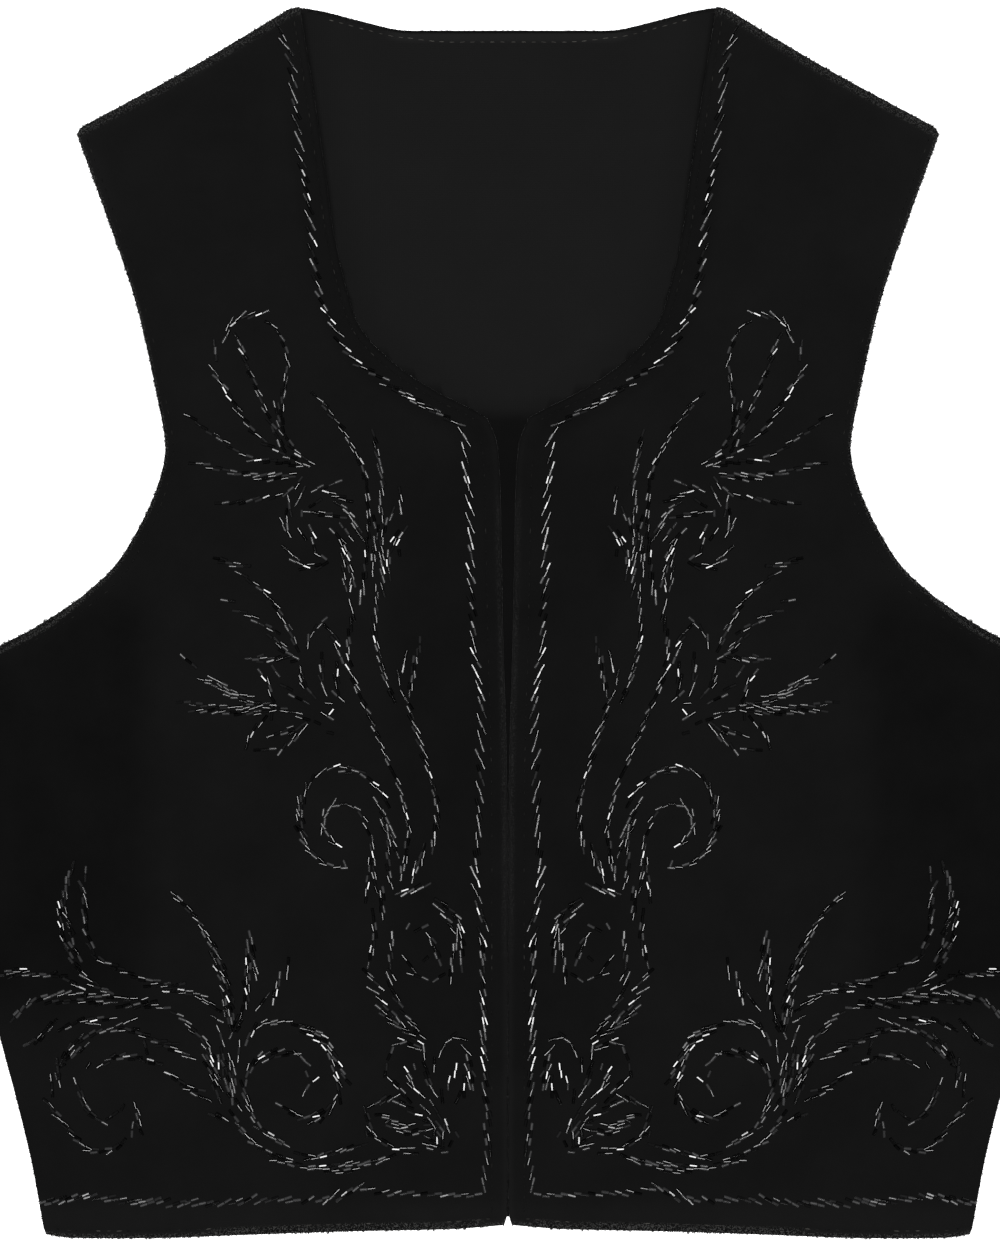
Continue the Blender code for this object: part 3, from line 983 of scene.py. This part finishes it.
CORNER_FLOWER = (
    ((48.3, -178.5), (50.5, -184.5)), ((50, -191), (45, -197.5), (41.2, -201.8)),
    ((42.7, -188), (41, -194), (37.7, -199)), ((40.2, -184.8), (38.3, -189.3)),
    ((43, -178), (35.5, -180)), ((34.9, -186), (34, -193), (31.8, -198.6)),
    ((33, -201.5), (28.3, -208.8)), ((37.4, -202.6), (32.3, -208.2)),
    ((57.3, -203.4), (46, -199.4)), ((48.2, -201.1), (39.5, -206.5), (33.8, -210.1)),
    ((36, -211.6), (32.2, -211.5)), ((59.9, -204.3), (57.5, -214.5), (49.8, -221.2)),
    ((59.5, -213.8), (58.5, -217.2)), ((49.2, -222.3), (38.8, -222)),
    ((44, -224), (37.5, -224.1)), ((34.6, -221.7), (31.5, -222.5)),
    ((28.2, -224), (24.9, -223.5)), ((52, -210), (49.2, -208.4)),
    ((50.3, -212), (44, -214.8), (34, -214)), ((22.9, -214.1), (21, -217)),
    ((25.3, -221), (24.2, -218.7)), ((26.3, -177.2), (29.8, -183.6)),
    ((19.5, -178.7), (16.8, -184), (16, -196)), ((21, -185.2), (22.3, -192.5)),
    ((24.8, -191), (25.2, -197.2)), ((27.9, -197), (27.4, -203.2)),
    ((18.5, -191.4), (18, -200.4)), ((19.5, -197), (22.3, -202.6)),
    ((25.4, -176.2), (22.5, -174.7), (18.8, -176)), ((30.8, -183.5), (31, -189.5)),
    ((47.4, -177.6), (44, -176.6), (40.2, -178.6)), ((51.3, -186), (52.6, -191.5)),
    ((54.8, -207.4), (50, -209.2), (45, -211.8), (40.2, -211.3)),
    ((32.6, -211), (30.4, -215.8), (31, -219.6)),
    ((29.4, -209.8), (27.4, -214.5), (28.2, -218.6)), ((26.3, -209.8), (24.6, -214.6)),
    ((35, -216.4), (30.6, -219)), ((36.5, -178.5), (35.6, -184)), ((16.8, -186), (14.9, -190.8)),
    ((15.4, -192), (15.6, -197.4)), ((35.5, -219.5), (27, -220.8)),
)
for stems, pitch in ((SCROLLS, 5.7), (LOW_STEMS, 5.7), (CORNER_FLOWER, 4.6)):
    embroider(stems, pitch)

# %% Plumes, spirals and the vine along the hem
PLUMES = (
    ((183, -101.5), (186, -111), (187.5, -121), (184, -130), (184, -136), (180, -143)),
    ((188.4, -118), (188, -130), (182, -145), (174, -153), (163, -158.3), (143, -162.4)),
    ((141.5, -164), (136, -168.5), (129.2, -175.5), (125, -182.6)), ((177.6, -103), (178, -109)),
    ((180.7, -109.3), (178.5, -116.5), (178.8, -128)),
    ((177, -131), (174, -140), (166, -145.5), (157, -149), (149.5, -151.2)),
    ((151, -153), (138.5, -153.1)), ((143, -155.1), (131, -157.2), (123, -163.4)),
    ((125, -165.7), (119.8, -168.8)),
    ((212.5, -148.8), (197, -148.2), (188, -149.8), (179.3, -154.6)),
    ((212.5, -146.5), (202, -146.1)),
    ((210, -167.5), (200, -159.5), (186, -156.2), (170, -158.1)),
    ((194, -160.2), (181, -159.5), (167, -160.2)), ((164, -162), (155, -160.6), (149, -160.8)),
    ((203.6, -178), (199, -176), (190.5, -168)), ((189.8, -171), (180, -168), (166, -166.5)),
    ((178, -168.6), (172, -169.3)), ((164.6, -170), (156.4, -167.3)),
)
SIDE_CURL = (
    ((132.5, -184), (142, -179.2), (151, -175.4), (159, -172.1), (168, -171.5), (178, -174.2),
     (186, -181), (189.7, -188.5), (189.8, -195)), ((138.2, -178.6), (148.9, -177.2)),
    ((177, -177.5), (187, -185)), ((193, -191), (192, -199.6)),
    ((195, -200.5), (191, -206.5), (183, -216), (177, -221.3), (168, -222.4), (161.5, -217.8)),
    ((157.8, -209.8), (159, -217)), ((156.7, -203.5), (154.7, -215)),
    ((146.5, -186.4), (154, -184.2), (164, -183), (171, -186)), ((177.8, -188), (175.8, -185.5)),
    ((181.2, -193.8), (180, -199.5), (176, -207), (171.4, -210.5)),
    ((169, -209.3), (164.5, -206.5)), ((163.4, -206), (161.4, -202)),
    ((143.8, -189.7), (136, -195), (129.9, -197.7)), ((133.8, -198), (126, -202.7)),
    ((126, -206.5), (119.8, -210)), ((153.4, -176.8), (152, -182.4)),
)
HEM_VINE = (
    ((113.4, -176.3), (113.3, -185)), ((110.3, -177.5), (104.6, -169.7), (93.8, -168)),
    ((88.7, -169.2), (79, -174), (73, -183.5), (67.5, -194.3)),
    ((85.1, -172.7), (75.5, -179.8), (73, -188), (71.3, -195), (71, -200.8)),
    ((72.5, -200.5), (77.5, -207.5), (83, -210.2)),
    ((77.8, -206.4), (86, -208.4), (95.5, -203.8)),
    ((110, -192.8), (107.5, -186.5), (102, -181.8), (95.1, -180.3)),
    ((102.5, -184), (96, -182.4), (89.1, -182), (85.2, -186.1)), ((85.9, -188.8), (84.1, -192.6)),
    ((84.1, -194.6), (87, -200.3)), ((82.3, -193.6), (79.7, -191.5)),
    ((111.2, -195), (109.6, -203), (104.5, -212.5), (93, -221)),
    ((88.3, -223.4), (82, -224.9), (74, -223.2), (61, -220.5)), ((123.5, -207), (118.5, -210.3)),
    ((116.5, -206.5), (109, -218), (98, -224.8), (84, -229.5), (72, -229.2), (56, -227.2),
     (49.3, -225)), ((99.7, -226.3), (91.5, -227.7)), ((75, -231), (64, -230.6)),
)
UPRIGHTS = (
    ((142, -113.6), (132, -124.5), (124, -137.5), (119.5, -153), (118, -168)),
    ((124, -140.4), (120, -151), (117.5, -162), (117.5, -170)),
    ((108.7, -132), (108, -139), (106.6, -150)),
    ((109.4, -134.6), (110, -150), (111.2, -162), (117.5, -174.5)),
    ((92.6, -140.5), (94, -150.3)), ((96, -149), (99, -160)), ((100.6, -156), (107.3, -164.3)),
    ((111.5, -166), (116, -172.5)), ((122.7, -169.3), (120.5, -179.5)),
    ((121.7, -182), (122.3, -188.5)), ((120.1, -181.5), (118, -196.5)),
    ((116.4, -184.2), (116.2, -200)), ((127, -180), (125, -187), (121.4, -196.8)),
    ((128, -181.5), (124, -193), (122.3, -200.2)), ((118, -198), (112, -206)),
)
for stems, loose in ((PLUMES, 0.14), (SIDE_CURL, 0.13), (HEM_VINE, 0.14), (UPRIGHTS, 0.13)):
    embroider(stems, pitch=4.8, loose=loose)

# %% [markdown]
# Neighbouring beads can't share a place, so before they are set down they shoulder each
# other aside, a little each round. Each bead is taken as three discs in a row, which is
# enough to stop it from crossing the next one. The tables are drawn flat, as the lens sees
# the vest, and what lies nearer the lens looks bigger, so each bead is then drawn in a
# little for its height.

# %% Settle the beads and set them on the pile
REACH, ROOM, GIVE = 4.2, 1.22, 0.18  # millimetres, millimetres, and the share moved in a round
CUT_SHARE = {"border": 0.54, "motif": 0.29}  # of the beads, those that have six flat sides


def settled(flat, angles, rounds=14):
    """Flat places moved until the beads hardly overlap."""
    flat = flat.copy()
    tree = KDTree(len(flat))
    for i, (x, y) in enumerate(flat):
        tree.insert((x, y, 0.0), i)
    tree.balance()
    pairs = [
        (i, j) for i, (x, y) in enumerate(flat)
        for _, j, _ in tree.find_range((x, y, 0.0), REACH * MM) if j > i
    ]
    first, second = np.array(pairs).T
    along = np.column_stack([np.cos(angles), np.sin(angles)])
    discs = np.array([-1.0, 0.0, 1.0]) * MM
    for _ in range(rounds):
        middles = flat[:, None] + along[:, None] * discs[None, :, None]
        apart = middles[second][:, None] - middles[first][:, :, None]
        far = np.maximum(np.linalg.norm(apart, axis=-1), 0.05 * MM)
        press = np.clip(ROOM * MM - far, 0.0, None) / far
        push = GIVE * (apart * press[..., None]).sum(axis=(1, 2))
        np.add.at(flat, second, push)
        np.add.at(flat, first, -push)
    return flat


def under_lens(flat):
    """Places on the raised cloth that the lens sees over these places on the table."""
    eye = np.array(camera.location[:2])
    height = on_cloth(flat)[0][:, 2] + 0.9 * MM
    return eye + (flat - eye) * (1.0 - height / camera.location.z)[:, None]


everything = np.array(beads["border"] + beads["motif"])
everything[:, :2] = under_lens(settled(everything[:, :2], everything[:, 2]))
in_border = np.arange(len(everything)) < len(beads["border"])
for kind, part in (("border", in_border), ("motif", ~in_border)):
    flat, angles, loose = everything[part, :2], everything[part, 2], everything[part, 3]
    spots, ups, met = on_cloth(flat)
    count = len(spots)
    x, y = flat.T / MM
    loose = loose + 0.05 * eased((x - 100) / 60)
    ups = ups + chance.normal(0.0, 1.0, (count, 3)) * loose[:, None]
    ups /= np.linalg.norm(ups, axis=1)[:, None]
    spots = spots + ups * (0.42 + chance.uniform(-0.08, 0.14, count))[:, None] * MM
    cut = chance.random(count) < CUT_SHARE[kind]
    rolls = np.radians(np.where(cut, chance.normal(0.0, 4.0, count), chance.uniform(0, 45, count)))
    stretch = chance.normal(1.0, 0.03, count)
    tones = chance.uniform(0.0, 1.0, count) ** np.where(y < -235, 1.2, 3.0)
    sew_on(
        f"beads_{kind}", bugles, black_glass, (spots, ups, met), angles, cut, rolls, stretch,
        tones,
    )
    print(int((~met).sum()), "beads lie off the cloth")

# %% [markdown]
# ## Topstitching
# A row of small stitches holds each turned edge. A stitch is a short spindle of thread,
# half sunk in its groove. The rows run a few millimetres inside the edges.

# %% Rows of stitches
spindle = bmesh.new()
bmesh.ops.create_uvsphere(spindle, u_segments=6, v_segments=5, radius=1.0)
bmesh.ops.rotate(spindle, verts=spindle.verts, matrix=LAY_DOWN)
bmesh.ops.scale(spindle, verts=spindle.verts, vec=(1.05 * MM, 0.2 * MM, 0.17 * MM))
for face in spindle.faces:
    face.smooth = True
thread_stitches = (template_of(spindle),)


def inside_line(table, inset):
    """A line drawn a little inside an edge, towards the middle of the piece."""
    line = smooth_line(table)[1:]
    length = run_along(line)[-1]
    line = points_at(line, np.linspace(0.0, length, int(length / (1.0 * MM))))
    ways = np.gradient(line, axis=0)
    ways /= np.linalg.norm(ways, axis=1)[:, None]
    return line + np.column_stack([ways[:, 1], -ways[:, 0]]) * inset * MM


def stitch_row(line, pitch):
    """Middles and angles of the stitches along a line."""
    middles = np.arange(pitch * MM, run_along(line)[-1] - pitch * MM, pitch * MM)
    middles = middles + chance.normal(0.0, 0.12 * MM, len(middles))
    spots = points_at(line, middles)
    ahead = points_at(line, middles + MM) - spots
    return spots, np.arctan2(*ahead.T[::-1]) + chance.normal(0.0, 0.06, len(middles))


def sew_stitches(name, flat, angles, trees, above, long, uneven, tones):
    """Sews spindles of thread at flat places, a little above the cloth."""
    spots, ups, met = on_cloth(flat, trees)
    flatwise = np.zeros(len(flat))
    stretch = chance.normal(long, uneven, len(flat))
    sew_on(
        name, thread_stitches, thread_finish, (spots + ups * above * MM, ups, met), angles,
        flatwise, flatwise, stretch, tones(len(flat)),
    )


ROWS = (  # edge, inset, pitch, and how bright the painted glints on the lightest stitches are
    (CENTRE_FRONT, 6.5, 4.6, 0.3), (FRONT_NECK, 3.2, 3.9, 0.3), (FRONT_HEM[::-1], 3.3, 4.2, 1.0),
    (ARMHOLE[::-1], 3.4, 4.4, 0.15),
)
rows = [stitch_row(inside_line(table, inset), pitch) for table, inset, pitch, light in ROWS]
flat, angles = [np.concatenate(values) for values in zip(*rows)]
brightest_painted_glint = np.concatenate([np.full(len(row[0]), kind[3]) for row, kind in zip(rows, ROWS)])
# A few front stitches are painted lighter, standing in for glints on the black thread.
sew_stitches(
    "topstitching", flat, angles, ("front",), 0.02, 1.0, 0.08,
    lambda count: brightest_painted_glint * chance.random(count) ** 4,
)

# %% [markdown]
# At the back neck the stitches hold the band that is turned in. The row starts half a stitch
# beyond the centre, so that its two halves meet in even steps.

# %% Back neck stitches
NECK_PITCH = 4.3
neck_row = inside_line(BACK_NECK, 0.0)
neck_row = np.vstack([(-NECK_PITCH / 2 * MM, neck_row[0, 1]), neck_row])
depths = np.interp(neck_row[:, 0] / MM, (25, 33, 42, 55, 84), (5.2, 4.7, 3.4, 3.5, 3.2))
neck_row[:, 1] -= depths * MM
flat, angles = stitch_row(neck_row[neck_row[:, 0] < 82 * MM], NECK_PITCH)
sew_stitches(
    "neck_stitching", flat, angles, ("back", "lining"), 0.03, 1.05, 0.15,
    lambda count: chance.uniform(0.4, 1.0, count),
)

# %% [markdown]
# ## Pile along the rims
# Where velvet turns over an edge its hairs stand out and catch the light, so an edge is
# never a clean line. Each hair is a thin three-sided cone, which needs only five faces.

# %% Hairs
needle = bmesh.new()
bmesh.ops.create_cone(
    needle, cap_ends=True, segments=3, radius1=0.14 * MM, radius2=0.03 * MM, depth=1.0 * MM
)
bmesh.ops.rotate(needle, verts=needle.verts, matrix=LAY_DOWN)
bmesh.ops.translate(needle, verts=needle.verts, vec=(0.4 * MM, 0.0, 0.0))
hairs = (template_of(needle),)
FRONT_RIM, SEAM_RIM, BACK_RIM = 4.4, 3.2, 0.9  # the middle of each rim's height, millimetres
RIMS = (  # edge, hairs in a millimetre, their length in millimetres, and the rim
    (FRONT_HEM, 8, 0.85, FRONT_RIM), (ARMHOLE, 6, 0.8, FRONT_RIM),
    (SHOULDER[::-1], 7, 0.85, SEAM_RIM), (SIDE_SEAM, 4, 0.6, SEAM_RIM),
    (FRONT_NECK[::-1], 1, 0.3, FRONT_RIM), (CENTRE_FRONT[::-1], 1, 0.25, FRONT_RIM),
    (FRONT_HEM, 3, 0.8, BACK_RIM), (ARMHOLE, 8, 1.0, BACK_RIM),
    (BACK_NECK[::-1], 5, 0.35, BACK_RIM),
)


def tufted(far):
    """How much longer the hairs are where they bunch, at distances along an edge."""
    knots = np.arange(0.0, far.max() + 2 * MM, 0.6 * MM)
    return np.interp(far, knots, 0.1 + 1.9 * chance.random(len(knots)) ** 2.5)


roots, outs, lengths = [], [], []
for table, crowd, length, middle in RIMS:
    on_front = middle != BACK_RIM
    line = smooth_line(table)
    run = run_along(line)[-1]
    count = int(crowd * run / MM)
    far = np.sort(chance.uniform(0.0, run, count))
    spots, ahead, behind = [points_at(line, far + step * MM) for step in (0, 1, -1)]
    ways = (ahead - behind) / np.linalg.norm(ahead - behind, axis=1)[:, None]
    out = np.column_stack([ways[:, 1], -ways[:, 0]])
    turn = chance.normal(0.0, 0.5, count)
    around = chance.uniform(-0.7 if on_front else -0.1, 0.9, count)
    flat_out = out * np.cos(turn)[:, None] + ways * np.sin(turn)[:, None]
    if table is ARMHOLE:
        stretched, drawn_in = armhole_ease(UNDERARM_AT + (1 - UNDERARM_AT) * far / run)
        spots = spots + (stretched - drawn_in * on_front)[:, None]
    radius = 1.1 if on_front else 0.7
    root = spots - out * (radius * (1 - np.cos(around)))[:, None] * MM
    roots.append(np.column_stack([root, (middle + radius * np.sin(around)) * MM]))
    outs.append(np.column_stack([flat_out * np.cos(around)[:, None], np.sin(around)]))
    lengths.append(length * chance.uniform(0.6, 1.2, count) * tufted(far))
roots, outs, lengths = [np.concatenate(values) for values in (roots, outs, lengths)]
outs /= np.linalg.norm(outs, axis=1)[:, None]
ups = (0.0, 0.0, 1.0) - outs[:, 2:] * outs
ups /= np.linalg.norm(ups, axis=1)[:, None]
rolls = chance.uniform(0, 6, len(outs))
tones = chance.uniform(0.0, 1.0, len(outs)) ** 2
strew("rim_pile", pile_finish, hairs, np.zeros(len(outs)), roots, outs, ups, rolls, lengths, tones)

# %% [markdown]
# ## Size
# The dressed vest must stay in the solids' own box, but for the small proud pile. Both boxes
# are printed.

# %% Sizes and finish
seen_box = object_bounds()
for name, (low, high) in (("solids", cad_box), ("dressed", seen_box)):
    print(name, [round((b - a) / MM, 1) for a, b in zip(low, high)], "mm")
